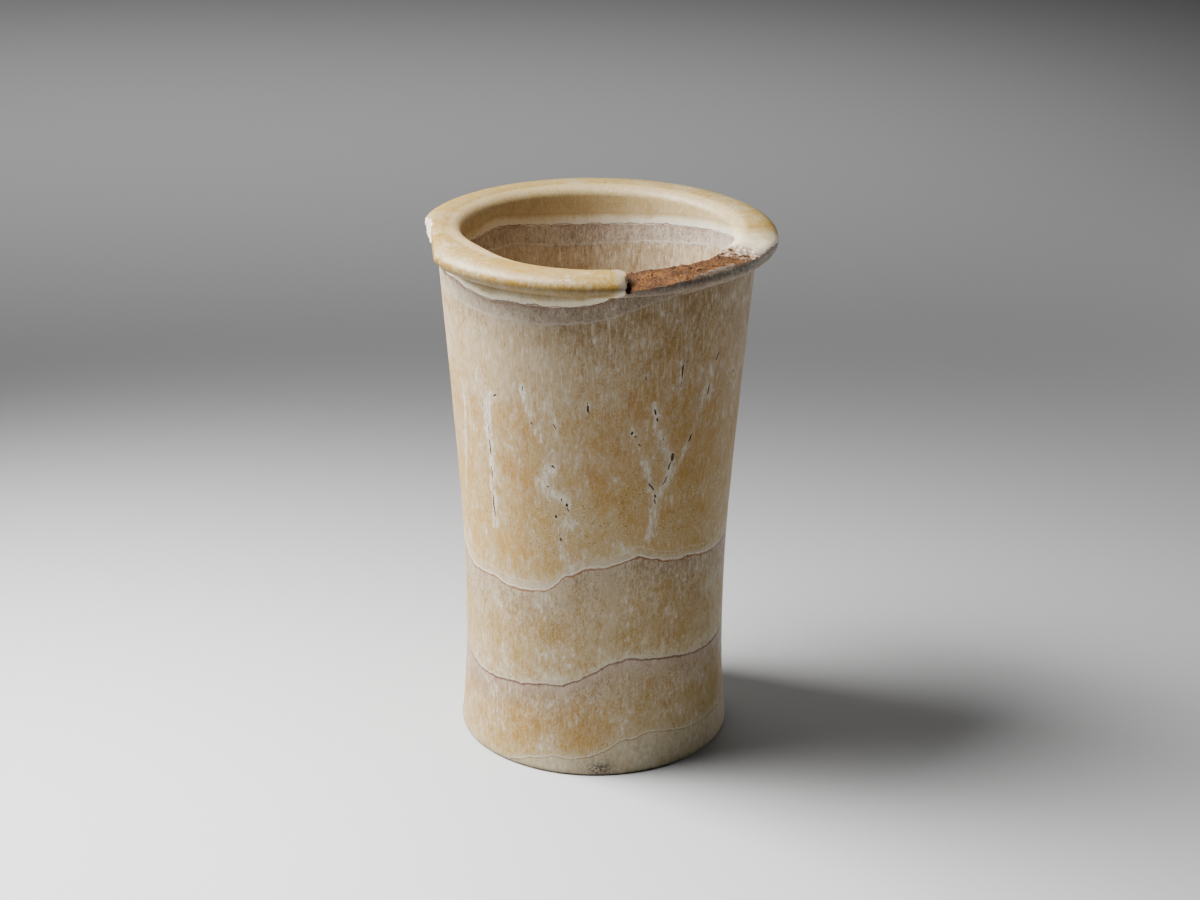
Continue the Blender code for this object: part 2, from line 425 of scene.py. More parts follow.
def choose(piece):
    """Makes a piece the only one that is chosen, and the active one."""
    bpy.ops.object.select_all(action="DESELECT")
    bpy.context.view_layer.objects.active = piece
    piece.select_set(True)


def take_away(piece, cutter):
    """Cuts a cutter's shape out of a piece, both closed as this solver needs, and removes the cutter."""
    volume_before = signed_volume(piece)
    cut = piece.modifiers.new(cutter.name, "BOOLEAN")
    cut.operation = "DIFFERENCE"
    cut.solver = "MANIFOLD"
    cut.material_mode = "TRANSFER"
    cut.object = cutter
    choose(piece)
    bpy.ops.object.modifier_apply(modifier=cut.name)
    bpy.data.objects.remove(cutter, do_unlink=True)
    lost = (volume_before - signed_volume(piece)) * 1e6
    print("cut away:", round(lost, 3), "cm3, leaving", len(piece.data.polygons), "faces")


# %% [markdown]
# ### The broken rim
#
# The roll's top split off along the red-brown layer, so the break shows that layer face on: a granular brown
# ledge that climbs and dips round the rim. Each row below gives an angle, and the ledge's depth under the
# crown at the mouth and at the outside. At its left end it drops into a crevice beside the standing rim.

# %% Cut the broken rim
BREAK_FACE = (
    (8.5, 0.0072, 0.0094),
    (14.0, 0.0056, 0.0080),
    (20.0, 0.0047, 0.0074),
    (28.0, 0.0046, 0.0045),
    (35.0, 0.0049, 0.0024),
    (43.0, 0.0055, 0.0019),
    (52.0, 0.0060, 0.0032),
    (61.5, 0.0054, 0.0046),
)
BREAK_FIRST = BREAK_FACE[0][0]
BREAK_LAST = BREAK_FACE[-1][0]
BREAK_FIRST_SLANT = 4.6
BREAK_LAST_SLANT = 2.0
CUTTER_MARGIN = 0.006
CREVICE_DEPTH = 0.0016
CREVICE_ANGLE = 10.0
CREVICE_WIDTH = 0.9
BREAK_GRAIN = 0.0017
GRAIN_SPACING = 0.0034
GRAIN_LEAN = 1.6
CRUMB_SPACING = 0.0013
SWELL_SHARE = 0.60
FACET_SHARE = 0.42
CRUMB_SHARE = 0.38
BREAK_COLUMNS = 190
BREAK_ROWS = 66


def break_depth(angle, radius):
    """Depth of the broken ledge under the crown at an angle and a radius, smooth between the rows."""
    rows = np.array(BREAK_FACE)
    after = int(np.clip(np.searchsorted(rows[:, 0], angle), 1, len(rows) - 1))
    share = min(max((angle - rows[after - 1, 0]) / (rows[after, 0] - rows[after - 1, 0]), 0), 1)
    ease = share * share * (3 - 2 * share)
    at_mouth, at_outside = (rows[after - 1] + (rows[after] - rows[after - 1]) * ease)[1:]
    across = min(max((radius - MOUTH_RADIUS) / (RIM_RADIUS - MOUTH_RADIUS), 0), 1)
    return at_mouth + (at_outside - at_mouth) * across


def grains(place, size):
    """Broken grains: small flat facets, each tilted its own way, on low steps and with a fine crumb."""
    spot = Vector(place) / GRAIN_SPACING
    centre = noise.voronoi(spot)[1][0]
    lean = Vector([rough(centre, 0.19, seed) for seed in (3.0, 17.0, 41.0)])
    facet = (spot - centre).dot(lean) * GRAIN_LEAN + noise.cell(centre * 3.1) * 0.30
    crumb = noise.fractal(Vector(place) / CRUMB_SPACING, 0.9, 2.1, 3)
    swell = noise.noise(Vector(place) / 0.012) + 0.6 * noise.noise(Vector(place) / 0.0055)
    return size * (SWELL_SHARE * swell + FACET_SHARE * facet + CRUMB_SHARE * crumb)


def cutter_radius(across):
    """Distance from the axis at a share of the way across the roll, a margin past both its sides."""
    return MOUTH_RADIUS - CUTTER_MARGIN + (RIM_RADIUS - MOUTH_RADIUS + 2 * CUTTER_MARGIN) * across


def break_face(along, across):
    """The broken ledge, with its crevice at the left end."""
    angle = BREAK_FIRST + (BREAK_LAST - BREAK_FIRST) * along
    radius = cutter_radius(across)
    place = around(angle, radius, HEIGHT - break_depth(angle, radius))
    crevice = CREVICE_DEPTH * math.exp(-(((angle - CREVICE_ANGLE) / CREVICE_WIDTH) ** 2))
    place.z += grains(place, BREAK_GRAIN) - crevice
    return place


def break_back(along, across):
    """The block's top, well above the rim and slanted at its ends."""
    slant = BREAK_FIRST_SLANT + (BREAK_LAST_SLANT - BREAK_FIRST_SLANT) * along
    angle = BREAK_FIRST + slant + (BREAK_LAST - BREAK_FIRST) * along
    return around(angle, cutter_radius(across), HEIGHT + CUTTER_MARGIN)


broken_rim = broken_block("broken_rim", BREAK_COLUMNS, BREAK_ROWS, break_face, break_back, BREAK_FINISH)
take_away(vase, broken_rim)

# %% [markdown]
# ### The chip on the left
#
# A flake came off the outside of the roll here. Its back end is still rough and pale, with one small nub left
# standing, and its front end has worn smooth again.

# %% Cut the chip
CHIP_ANGLE = -84.3
CHIP_DEPTH = 0.0107
CHIP_NUB_PLACE = -0.028
CHIP_NUB_HEIGHT = 0.0022
CHIP_NUB_WIDTH = 0.0075
CHIP_TIP = 0.0012
CHIP_TIP_PLACE = 0.3540
CHIP_TIP_HEIGHT = 0.0024
CHIP_GRAIN = 0.0014
CHIP_WORN_GRAIN = 0.12
CHIP_COLUMNS = 130
CHIP_ROWS = 36
CHIP_FRESH_END = -0.002
CHIP_FRESH_FADE = 0.008
CHIP_REACH = 0.0032
CHIP_DISTANCE = RIM_RADIUS - CHIP_DEPTH
CHIP_HALF_WIDTH = math.sqrt(RIM_RADIUS ** 2 - CHIP_DISTANCE ** 2) + CUTTER_MARGIN
CHIP_BOTTOM = SHOULDER_HEIGHT - CUTTER_MARGIN


def chip_place(along, up, outward):
    """A place on the lost slab, by its share along it, its share of the height and its distance out."""
    out = around(CHIP_ANGLE, 1, 0)
    side = Vector((-out.y, out.x, 0))
    height = CHIP_BOTTOM + (HEIGHT + CUTTER_MARGIN - CHIP_BOTTOM) * up
    return side * (CHIP_HALF_WIDTH * (2 * along - 1)) + out * outward + Vector((0, 0, height))


def freshness(sideways):
    """How fresh the chip still is at a place along it: rough at the back, worn smooth at the front."""
    return min(max((CHIP_FRESH_END - sideways) / CHIP_FRESH_FADE, 0), 1)


def chip_face(along, up):
    """The broken side of the slab, with its nub."""
    place = chip_place(along, up, CHIP_DISTANCE)
    sideways = CHIP_HALF_WIDTH * (2 * along - 1)
    from_nub = (sideways - CHIP_NUB_PLACE) / CHIP_NUB_WIDTH
    nub = CHIP_NUB_HEIGHT * math.exp(-from_nub * from_nub)
    tip = CHIP_TIP * math.exp(-((from_nub * 1.3) ** 2) - ((place.z - CHIP_TIP_PLACE) / CHIP_TIP_HEIGHT) ** 2)
    out = around(CHIP_ANGLE, 1, 0)
    crumb = grains(place, CHIP_GRAIN) * (CHIP_WORN_GRAIN + (1 - CHIP_WORN_GRAIN) * freshness(sideways))
    return place + out * min(nub + tip + crumb, CHIP_REACH)


def chip_back(along, up):
    """The slab's other side, clear of the roll."""
    return chip_place(along, up, RIM_RADIUS + CUTTER_MARGIN)


take_away(vase, broken_block("chip", CHIP_COLUMNS, CHIP_ROWS, chip_face, chip_back, CHIP_FINISH))

# %% [markdown]
# ### Worn edges
#
# A break this old has no knife edges: handling rounded the standing rim's end and the chip's outline. The
# points near those edges are relaxed, most of all at the chip's worn end, which rounds them over.

# %% Round the worn edges
STANDING_END_REACH = 0.0028
STANDING_END_REPEATS = 12
CHIP_EDGE_REACH = 0.0018
CHIP_EDGE_REPEATS = 4
CHIP_WORN_REACH = 0.0062
CHIP_WORN_REPEATS = 34
STANDING_END_WIDTH = 3.4
STONE_SLOT = 0
BREAK_SLOT = 1
CHIP_SLOT = 2


def relax_near_edges(piece, finish_number, reach, repeats, wanted):
    """Relaxes the points that lie near the edge between one finish and the others."""
    mesh = piece.data
    inside, outside = set(), set()
    for face in mesh.polygons:
        (inside if face.material_index == finish_number else outside).update(face.vertices)
    edge_points = [mesh.vertices[i].co for i in inside & outside if wanted(mesh.vertices[i].co)]
    tree = kdtree.KDTree(len(edge_points))
    for i, place in enumerate(edge_points):
        tree.insert(place, i)
    tree.balance()
    bpy.ops.object.mode_set(mode="EDIT")
    bpy.ops.mesh.select_all(action="DESELECT")
    bpy.ops.mesh.select_mode(type="VERT")
    bpy.ops.object.mode_set(mode="OBJECT")
    near = 0
    for vertex in mesh.vertices:
        close = tree.find(vertex.co)[2] < reach
        vertex.select = close
        near += close
    bpy.ops.object.mode_set(mode="EDIT")
    bpy.ops.mesh.vertices_smooth(factor=0.5, repeat=repeats)
    bpy.ops.object.mode_set(mode="OBJECT")
    print("rounded", near, "points")


def on_standing_end(place):
    """Whether a point is on the standing rim's end, left of the break."""
    return angle_of(place.x, place.y) < BREAK_FIRST + STANDING_END_WIDTH


def along_chip(place):
    """How far a place is along the chip from its middle."""
    out = around(CHIP_ANGLE, 1, 0)
    return place.y * out.x - place.x * out.y


def on_worn_chip(place):
    """Whether a point is on the chip's worn end."""
    return freshness(along_chip(place)) < 0.5


bpy.context.view_layer.objects.active = vase
relax_near_edges(vase, BREAK_SLOT, STANDING_END_REACH, STANDING_END_REPEATS, on_standing_end)
relax_near_edges(vase, CHIP_SLOT, CHIP_EDGE_REACH, CHIP_EDGE_REPEATS, lambda place: True)
relax_near_edges(vase, CHIP_SLOT, CHIP_WORN_REACH, CHIP_WORN_REPEATS, on_worn_chip)
for face in vase.data.polygons:
    fray = 0.003 * rough(face.center, 0.004)
    if face.material_index == CHIP_SLOT and freshness(along_chip(face.center) + fray) < 0.5:
        face.material_index = STONE_SLOT

# %% [markdown]
# ## Pits and cracks
#
# Softer spots in the stone dissolved into small dark pits, most of them strung along white veins, and one
# long crack runs down the left. They are real hollows: each is a small lens-shaped cutter that is dented and
# bent, turned to its lean and sunk into the wall. All of them are joined, so one Boolean cuts them at once.

# %% Where the pits are
# Angle from the front, height, length and width, all in mm but the first, and the lean in degrees.
PITS = (
    (-41, 266.8, 3.4, 1.4, 55), (-47.7, 262, 5.5, 0.9, 0), (-47.9, 257, 2.4, 0.7, 10),
    (-27.7, 276.7, 4.4, 1, -5), (-2.7, 267, 6.6, 1.9, -12), (-3, 271, 1.6, 1, 0),
    (-45.6, 250, 5, 0.6, 0), (-45.7, 241, 8, 0.8, 0), (-45.6, 228, 12, 1.1, 0),
    (-45.5, 210.5, 10, 1.1, -4), (-45.4, 198.5, 3, 0.6, -8), (-45.7, 186, 17, 1.5, -2),
    (-45.9, 174, 2, 0.5, 0), (-24.5, 253.3, 2.6, 1.2, -20), (-15.3, 253.2, 4.4, 0.9, -6),
    (-16.6, 224.7, 2.8, 2, -50), (-18.7, 209.8, 1.7, 1.5, 0), (-13.2, 201.4, 2.8, 0.8, -10),
    (-11.2, 198, 2.7, 2.2, 0), (-10.7, 194.6, 4.2, 0.9, -8), (-15.7, 188.9, 2.8, 1.9, 0),
    (-13.8, 172.6, 3.2, 1.5, 0), (-14.1, 176.2, 4, 0.6, 0), (13.9, 249.3, 2.5, 2.2, 0),
    (15.2, 246.6, 1.8, 1.5, 0), (17, 240.4, 3.6, 1, -35), (22.9, 262.1, 5, 1.8, -8),
    (23.7, 256.7, 3.4, 1.3, -8), (26.8, 242, 3.4, 0.8, -15), (31.2, 228, 6.4, 3.4, 8),
    (30, 222, 7, 1.4, 14), (28.6, 212.2, 7.6, 1.2, 30), (22.7, 209.2, 8.6, 1.4, -32),
    (24.6, 202, 2.6, 2, 0), (24.7, 198.2, 4.6, 1.2, 0), (39.5, 238.2, 6.6, 1.6, 22),
    (47.3, 268.4, 9, 1.4, 8), (33.2, 287, 12, 1.4, 3), (33, 278.5, 5, 0.7, 0),
    (51, 290.6, 7, 1.7, 32), (64.8, 273, 3.4, 1.4, 0), (63.6, 264.5, 4, 0.9, 0),
    (18.6, 287.1, 3.4, 0.9, -10), (8, 296, 2, 0.7, 0), (98, 233, 7, 1.4, 10),
    (100.5, 219, 9, 1.2, 6), (104, 203, 3, 2.2, 0), (109, 251, 5, 1.2, -12),
    (141, 243, 4, 1.6, 0), (143, 224, 11, 1.2, 4), (140.5, 196, 3, 1.9, 30),
    (167, 238, 3.4, 1.2, -20), (166.5, 216, 8, 1.5, -6), (-168, 214, 4.4, 1.3, 14),
    (-164.5, 196, 6, 1.4, 12), (-136, 245, 3, 1.4, 0), (-137.5, 226, 12, 1.2, -5),
    (-134.5, 193, 5, 2.2, 6), (-110, 240, 3.4, 1, 10), (-106, 204, 8, 1.3, 8),
    (-85.5, 246, 4, 1, 0), (-84.5, 222, 6, 1.2, 5),
)
PIT_DEPTH = 0.0016
PIT_BEND = 0.0011
PIT_DENTS = 0.40
PIT_SLIMNESS = 0.82


# %% Cut the pits
def pit_cutter(number, pit):
    """A dented lens, sunk into the wall at its angle and height."""
    angle, height, length, width, lean = pit
    bpy.ops.mesh.primitive_ico_sphere_add(subdivisions=2, radius=1)
    lens = bpy.context.object
    lens.name = f"pit_{number}"
    points = places_of(lens)
    for point in points:
        point *= 1 + PIT_DENTS * rough(point, 0.8, number * 3.7)
    depth = PIT_DEPTH * min(1.0, 0.45 + width / 2.6)
    points = points * np.array((PIT_SLIMNESS * width / 2000, depth, length / 2000))
    bend = PIT_BEND * np.array([rough((0, 0, point[2]), 0.0026, number * 1.9) for point in points])
    points[:, 0] += bend * np.minimum(1, length / 5)
    leaning = math.radians(lean)
    across = points[:, 0] * math.cos(leaning) + points[:, 2] * math.sin(leaning)
    along = points[:, 2] * math.cos(leaning) - points[:, 0] * math.sin(leaning)
    turn = math.radians(angle)
    radius = wall_radius(height / 1000) - points[:, 1]
    spun = turn + across / wall_radius(height / 1000)
    places = np.column_stack((radius * np.sin(spun), -radius * np.cos(spun), height / 1000 + along))
    set_places(lens, places)
    return lens


bpy.ops.object.select_all(action="DESELECT")
lenses = [pit_cutter(number, pit) for number, pit in enumerate(PITS)]
for lens in lenses:
    lens.select_set(True)
bpy.context.view_layer.objects.active = lenses[0]
bpy.ops.object.join()
pits = bpy.context.object
turn_faces_out()
pits.data.materials.append(PIT_FINISH)
take_away(vase, pits)

# %% [markdown]
# ## Where the layers run
#
# The pattern isn't painted on: each layer is a surface through the stone, and the wall cuts it. So each layer
# is written down as a wavy height round the vase, and every point of the mesh is told how far above or below
# each layer it lies. The same numbers then colour the outside, the inside and the breaks, and they all meet.

# %% Wavy heights of the five layers
# Angle from the front, and height in mm. The heights at the back are made up in keeping with the front.
LAYERS = {
    "red_layer": (
        (-141, 336.6), (-131, 338.8), (-118, 336.8), (-105, 338.0), (-90, 338.0), (-69, 337.9), (-57, 337.6),
        (-53, 335.2), (-46, 334.4), (-40, 332.7), (-33, 335.2), (-26, 334.5), (-21, 335.5), (-17, 334.8),
        (-10, 336.2), (-3.6, 337.0), (0.8, 339.1), (5, 342.3), (8, 348.5), (62, 355.4), (68, 355.5),
        (78, 353.9), (107, 344.5), (126, 340.5), (141, 337.7), (156, 334.8), (171, 333.0), (188, 332.3),
        (206, 333.6)),
    "light_layer": (
        (-141, 323.8), (-120, 324.5), (-90, 325.0), (-71, 324.5), (-59, 324.2), (-51, 322.8), (-44, 323.0),
        (-38, 321.6), (-32, 323.2), (-17, 323.1), (-8, 325.3), (-1, 326.6), (10, 332.0), (20, 338.0),
        (30, 341.5), (60, 342.5), (80, 341.0), (104, 337.6), (125, 329.9), (141, 325.7), (166, 320.7),
        (183, 318.2), (200, 318.9)),
    "upper_wave": (
        (-180, 149), (-160, 143), (-140, 139), (-120, 141), (-100, 138), (-85, 140), (-75, 137),
        (-65, 131.2), (-53, 132.4), (-47.7, 134), (-44.3, 131.8), (-38.9, 130.4), (-32.9, 131), (-25.7, 132),
        (-20.5, 134.2), (-16, 139.1), (-13.2, 145.1), (-7.7, 148.2), (-3.1, 152.8), (3.7, 152.8),
        (9.1, 155.5), (13.7, 157.3), (18, 160.1), (22.6, 157.7), (29.5, 153.9), (37.1, 151.7),
        (43.3, 151.8), (54.5, 147.8), (62.6, 147.1), (74.5, 148.2), (95, 153), (112, 150), (128, 145),
        (143, 149), (160, 153)),
    "lower_wave": (
        (-180, 75), (-160, 71), (-140, 66), (-120, 69), (-100, 66), (-87, 67), (-74.7, 62.7), (-67.3, 59.6),
        (-57.6, 58), (-48.9, 57.9), (-39.6, 59.7), (-30.6, 61.4), (-22.5, 64.1), (-13.7, 65.3), (-7.6, 69.5),
        (-2.9, 73.3), (1.9, 77.1), (5, 81.5), (9.8, 83.2), (16.2, 84.9), (24.7, 82.7), (33, 80.8),
        (42.3, 78.1), (49.4, 77), (59.7, 76.2), (67.7, 76.4), (79, 78), (100, 83), (120, 79), (140, 74),
        (160, 77)),
    "foot_wave": (
        (-180, 11), (-165, 6), (-150, 3), (-130, -3), (-100, -5), (-60, -4), (-42, 0), (-32.3, 5.1),
        (-26.9, 8.7), (-20.1, 11.1), (-16.1, 13.3), (-12, 12), (-5.7, 12.7), (0.5, 15), (6.8, 19.5),
        (11.5, 25), (18, 25.8), (24, 29.2), (31.2, 26.9), (41.1, 23.8), (50.5, 22.2), (61, 23.5),
        (72.3, 23.5), (90, 27), (110, 24), (130, 18), (150, 20), (165, 15)),
}
LAYER_SOFTNESS = 1.4


def layer_heights(name, angles):
    """Height of a layer, in metres, at each of many angles; a soft brush takes the corners off its points."""
    turns, heights = np.array(LAYERS[name]).T
    steps = np.arange(-180, 180, 0.5)
    coarse = np.interp(steps, turns, heights, period=360)
    brush = bell(np.arange(-12, 13) * 0.5, LAYER_SOFTNESS)
    wide = np.concatenate((coarse[-12:], coarse, coarse[:12]))
    smooth = np.convolve(wide, brush / brush.sum(), mode="valid")
    return np.interp(angles, steps, smooth, period=360) / 1000


def red_layer_heights(angles, radii):
    """Height of the red-brown layer; where the rim broke off, it is the broken ledge itself."""
    heights = layer_heights("red_layer", angles)
    for i in np.flatnonzero((angles > BREAK_FIRST) & (angles < BREAK_LAST)):
        heights[i] = HEIGHT - break_depth(angles[i], radii[i]) + 0.0003
    return heights


# %% [markdown]
# ## Veins
#
# White veins are cracks that the stone healed. They are written as chains of points on the wall, with a width
# in millimetres and a strength. Each mesh point gets the strongest vein near it.

# %% Veins along the wall
VEINS = (
    (3.6, 1, ((-42.8, 268), (-46, 252), (-45.9, 240), (-46.1, 218), (-45.6, 190), (-46.4, 172))),
    (3.2, 0.6, ((-46.4, 172), (-48.5, 160), (-49, 140))),
    (2.6, 0.8, ((-62, 262), (-63.2, 232), (-66.5, 205), (-70, 176))),
    (3.2, 0.9, ((-28, 277), (-26.9, 270), (-24.5, 253), (-21.5, 243))),
    (4.2, 0.7, ((-18.1, 269), (-15.2, 253), (-15, 241), (-16.6, 225))),
    (7.4, 0.9, ((-17.8, 222), (-20.2, 213), (-18, 206), (-12.5, 201), (-10.2, 194), (-11, 184))),
    (5, 0.8, ((-18.5, 212), (-17, 196), (-15.5, 184), (-14.2, 174))),
    (6, 0.7, ((-11, 184), (-14.2, 178), (-12.6, 162), (-10.5, 150))),
    (3.4, 0.5, ((11.5, 258), (13.8, 249), (17, 240), (19.5, 226))),
    (4.2, 0.9, ((19.5, 226), (22.3, 211), (24.7, 199), (24.2, 188), (23.5, 174))),
    (3.6, 0.9, ((22.4, 268), (24.5, 252), (27.3, 238), (30.9, 228), (29, 212), (25, 200))),
    (3.2, 0.8, ((49, 284), (46.5, 270), (41.5, 247), (38.4, 234), (34.5, 222), (30, 212))),
    (2.8, 0.6, ((32.4, 296), (33.2, 283), (33.8, 266))),
    (2.6, 0.5, ((53, 300), (50.5, 289), (47, 276))),
    (2.6, 0.5, ((66, 286), (65, 262), (68, 226), (72, 190))),
    (8, 0.45, ((-2.5, 140), (-1, 126), (2.5, 108), (6.5, 86))),
    (4, 0.8, ((95, 266), (97.5, 236), (100.5, 219), (104, 200), (103, 178))),
    (3.4, 0.7, ((111, 268), (109, 250), (104.5, 230), (101, 219))),
    (4.4, 0.8, ((140, 262), (141.5, 240), (143, 222), (140.5, 195), (141, 172))),
    (3.4, 0.7, ((168, 262), (166.6, 238), (166.4, 214), (170, 186))),
    (4.2, 0.8, ((-170, 240), (-168, 215), (-164.5, 196), (-161, 170))),
    (3.8, 0.9, ((-134, 268), (-136, 245), (-137.6, 226), (-134.5, 193), (-136, 162))),
    (3.4, 0.7, ((-113, 264), (-110, 240), (-106, 206), (-103, 184))),
    (3.2, 0.7, ((-89, 270), (-85.6, 246), (-84.5, 222), (-87, 196), (-83, 170))),
)
VEIN_SPREAD = 1.35
PIT_HALO = 2.0
PIT_HALO_STRENGTH = 0.85
UNROLLED_RADIUS_MM = 96
# Each pit sits in a small white patch of its own.
VEINS += tuple((PIT_HALO, PIT_HALO_STRENGTH, ((angle, height - length / 2), (angle, height + length / 2)))
               for angle, height, length, width, lean in PITS)


def strand_strength(along, up, chain, width):
    """Nearness to a chain of points on the unrolled wall: 1 on it, falling away over its width."""
    nearest = np.full(len(along), 9.0)
    for (x0, y0), (x1, y1) in zip(chain, chain[1:]):
        dx, dy = x1 - x0, y1 - y0
        share = np.clip(((along - x0) * dx + (up - y0) * dy) / (dx * dx + dy * dy), 0, 1)
        nearest = np.minimum(nearest, np.hypot(along - x0 - share * dx, up - y0 - share * dy))
    return bell(nearest, width)


def unrolled(angles):
    """Distance round the wall, in mm, for angles in degrees."""
    return np.radians(angles) * UNROLLED_RADIUS_MM


def vein_strength(angles, heights):
    """Strength of the white veins at each place on the wall."""
    strongest = np.zeros(len(angles))
    turned = [around(angle, UNROLLED_RADIUS_MM / 1000, height) for angle, height in zip(angles, heights)]
    drift = np.array([1.5 * rough(place, 0.011) + 1.0 * rough(place, 0.005, 3.0) for place in turned])
    plump = np.array([1 + 0.45 * rough(place, 0.016, 7.0) for place in turned])
    for width, strength, chain in VEINS:
        middle = chain[len(chain) // 2][0]
        along = unrolled(off_angle(angles, middle)) + drift
        points = [(unrolled(off_angle(angle, middle)), height) for angle, height in chain]
        near = strand_strength(along, heights * 1000, points, VEIN_SPREAD * width * plump)
        strongest = np.maximum(strongest, strength * near)
    return strongest


# %% Honey and milky patches, and three patches of painted light and shade
# Angle from the front, height in mm, half width in degrees, half height in mm, and honey above 0, milk below.
PATCHES_WITH_PAINTED_LIGHT = (
    (-32, 218, 8, 38, 1), (3, 217, 10, 38, 1), (-63, 180, 9, 31, 0.8), (-25, 164, 10, 15, 1),
    (-48, 155, 9, 10, 0.7), (47, 205, 12, 44, 0.9), (24, 184, 7, 19, 1), (36, 318, 7, 20, 0.5),
    # The last patch on the next line, honey at 38 degrees under the break, is painted shade.
    (50, 296, 24, 26, 0.7), (38, 345, 30, 9, 1),
    (-7, 321, 7, 12, 0.5), (-31, 311, 18, 20, -1), (-17, 282, 10, 11, -0.7), (-36, 269, 7, 10, -0.5),
    (-2, 294, 8, 18, -0.2), (16, 158, 9, 13, -0.4), (-20, 196, 9, 22, -0.5),
    (-47, 107, 15, 15, 0.6), (-6, 126, 3, 14, 0.9), (36, 122, 15, 21, 0.5), (-24, 105, 12, 10, 0.35),
    (8, 121, 6, 28, -0.9), (-19, 135, 14, 9, -0.6), (53, 94, 11, 18, -0.5), (-33, 37, 21, 15, 1),
    (-1, 30, 11, 10, 0.9), (-5, 51, 4, 10, 0.5), (-47, 47, 13, 16, 1), (32, 58, 22, 20, -0.7),
    (-19, 71, 10, 8, -0.6), (54, 45, 11, 20, -0.6), (80, 45, 15, 24, -0.8), (78, 225, 10, 40, 0.7),
    (82, 118, 12, 18, -0.5),
    (112, 190, 12, 34, 0.8), (128, 250, 9, 30, -0.6), (150, 175, 12, 22, 0.9), (-178, 225, 12, 40, 0.8),
    (-150, 180, 10, 30, 0.9), (-122, 220, 11, 40, 0.8), (-95, 195, 9, 34, 0.6), (105, 45, 16, 16, 0.7),
    (160, 110, 18, 18, 0.6), (-160, 40, 18, 16, 0.8), (-115, 112, 16, 16, -0.7), (-90, 40, 14, 15, 0.6),
    (-60, 356, 44, 9, 0.8), (2, 356, 24, 8, 0.5), (178, 352, 44, 13, -1.1), (10, 317, 13, 15, 0.7),
    # On the next line, the milk patch at -62 degrees is painted light under the roll on the left, and the
    # honey patch at -3 degrees is painted shade.
    (29, 312, 14, 20, 0.5), (-72, 50, 14, 20, 0.7), (-62, 330, 30, 6, -0.9), (-3, 332, 12, 6, 0.5),
)


def patch_share(angles, heights):
    """How much honey each place gets from the patches near it, below 0 for milk; three patches are painted
    light and shade.
    """
    share = np.zeros(len(angles))
    for angle, height, half_width, half_height, amount in PATCHES_WITH_PAINTED_LIGHT:
        across = off_angle(angles, angle) / half_width
        up = (heights * 1000 - height) / half_height
        share += amount * np.exp(-0.7 * (across * across + up * up))
    return np.clip(share, -1.2, 1.2)


# %% Tell every point where it lies in the stone
def write_numbers(piece, name, values):
    """Stores one number for each point of a piece, for its finish to read."""
    numbers = piece.data.attributes.new(name, "FLOAT", "POINT")
    numbers.data.foreach_set("value", np.asarray(values, dtype=np.float32))


# Place and size of the painted shade at the foot's front.
FOOT_SHADE_ANGLE = 3.0
FOOT_SHADE_HEIGHT = 5.0
FOOT_SHADE_SPREAD = 6.5
WORN_RIM_FROM = 0.3435
LAYERS_UPWARD = ("foot_wave", "lower_wave", "upper_wave", "light_layer", "red_layer")
LOWEST_LEVEL = -0.03
THINNEST_CRYSTALS = 0.009
# The chalky zone over the red-brown layer is thinner inside than outside.
INNER_CHALK = 0.0074
OUTER_CHALK = 0.0088

places = places_of(vase)
radii = np.hypot(places[:, 0], places[:, 1])
angles = angle_of(places[:, 0], places[:, 1])
heights = places[:, 2]
levels = [np.full(len(places), LOWEST_LEVEL), *(layer_heights(name, angles) for name in LAYERS_UPWARD[:4])]
levels.append(red_layer_heights(angles, radii))
levels[4] = np.minimum(levels[4], levels[5] - THINNEST_CRYSTALS)
for name, level in zip(LAYERS_UPWARD, levels[1:]):
    write_numbers(vase, name, (heights - level) * 1000)
strata = np.zeros(len(places))
for low, high in zip(levels, levels[1:]):
    strata += np.clip((heights - low) / np.maximum(high - low, 1e-6), 0, 1)
chalk_depth = np.interp(radii, (MOUTH_RADIUS, ROLL_RADIUS), (INNER_CHALK, OUTER_CHALK))
strata += np.maximum(0, heights - levels[5]) / chalk_depth
write_numbers(vase, "strata", strata)
write_numbers(vase, "vein", vein_strength(angles, heights))
write_numbers(vase, "honey", patch_share(angles, heights))

# Painted shade: darker in a patch at the foot's front, along the contact with the paper and in a band under
# the ledge.
foot_shade_patch = 1.3 * bell(off_angle(angles, FOOT_SHADE_ANGLE), FOOT_SHADE_SPREAD)
foot_shade_patch *= bell(heights * 1000 - FOOT_SHADE_HEIGHT, FOOT_SHADE_SPREAD)
contact_shade = np.exp(-heights * 1000 / 1.8)
under_ledge = bell((heights - levels[5]) * 1000 + 3.2, 3.4) * (radii > MOUTH_RADIUS + 0.006)
ledge_shade = under_ledge * np.clip((angles - 9) / 4, 0, 1) * np.clip((62 - angles) / 8, 0, 1)
write_numbers(vase, "painted_shade", np.maximum.reduce((foot_shade_patch, contact_shade, 0.9 * ledge_shade)))

# The rim is worn pale where it stands beside the break, and pale facets show at the break's far end.
write_numbers(vase, "far_end", np.clip((angles - (BREAK_LAST - 6)) / 4, 0, 1))
worn_end = bell(off_angle(angles, BREAK_FIRST - 0.4), 2.4) * (angles < BREAK_FIRST + 1.0)
worn_far_end = bell(off_angle(angles, BREAK_LAST + 2.5), 3.5) * (angles > BREAK_LAST - 1)
on_rim = np.clip((heights - WORN_RIM_FROM) / 0.002, 0, 1)
write_numbers(vase, "worn", np.clip(worn_end + 0.7 * worn_far_end, 0, 1) * on_rim)

# "inside" is 1 on the hollow's side of the wall.
in_from_middle = np.array([wall_radius(z) for z in heights]) - 0.5 * WALL - radii
write_numbers(vase, "inside", np.clip(in_from_middle / 0.003, 0, 1) * (heights > FLOOR_THICKNESS - 0.001))
print("numbers per point:", [item.name for item in vase.data.attributes if item.name[0] != "."])

